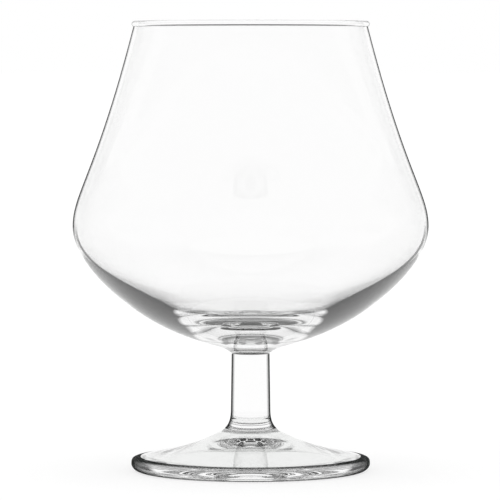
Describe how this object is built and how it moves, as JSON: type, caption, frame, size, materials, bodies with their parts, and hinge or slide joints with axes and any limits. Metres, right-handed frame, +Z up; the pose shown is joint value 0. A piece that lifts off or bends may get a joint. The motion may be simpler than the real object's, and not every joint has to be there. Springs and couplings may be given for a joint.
{
  "type": "brandy snifter",
  "caption": "Stemmed clear glass for brandy: wide bowl closing to a narrow beaded rim, short solid stem, broad sloped foot to stand on.",
  "frame": {"origin": "on the table, under the axis of the glass", "axes": "+Z up along the axis of the glass, from the foot to the rim; X and Y are any two level directions"},
  "size_m": [0.106, 0.106, 0.134],
  "materials": {
    "clear_glass": "fire-polished clear soda-lime glass"
  },
  "bodies": {
    "root": {"bowl": "clear_glass", "stem": "clear_glass", "foot": "clear_glass"}
  },
  "joints": []
}
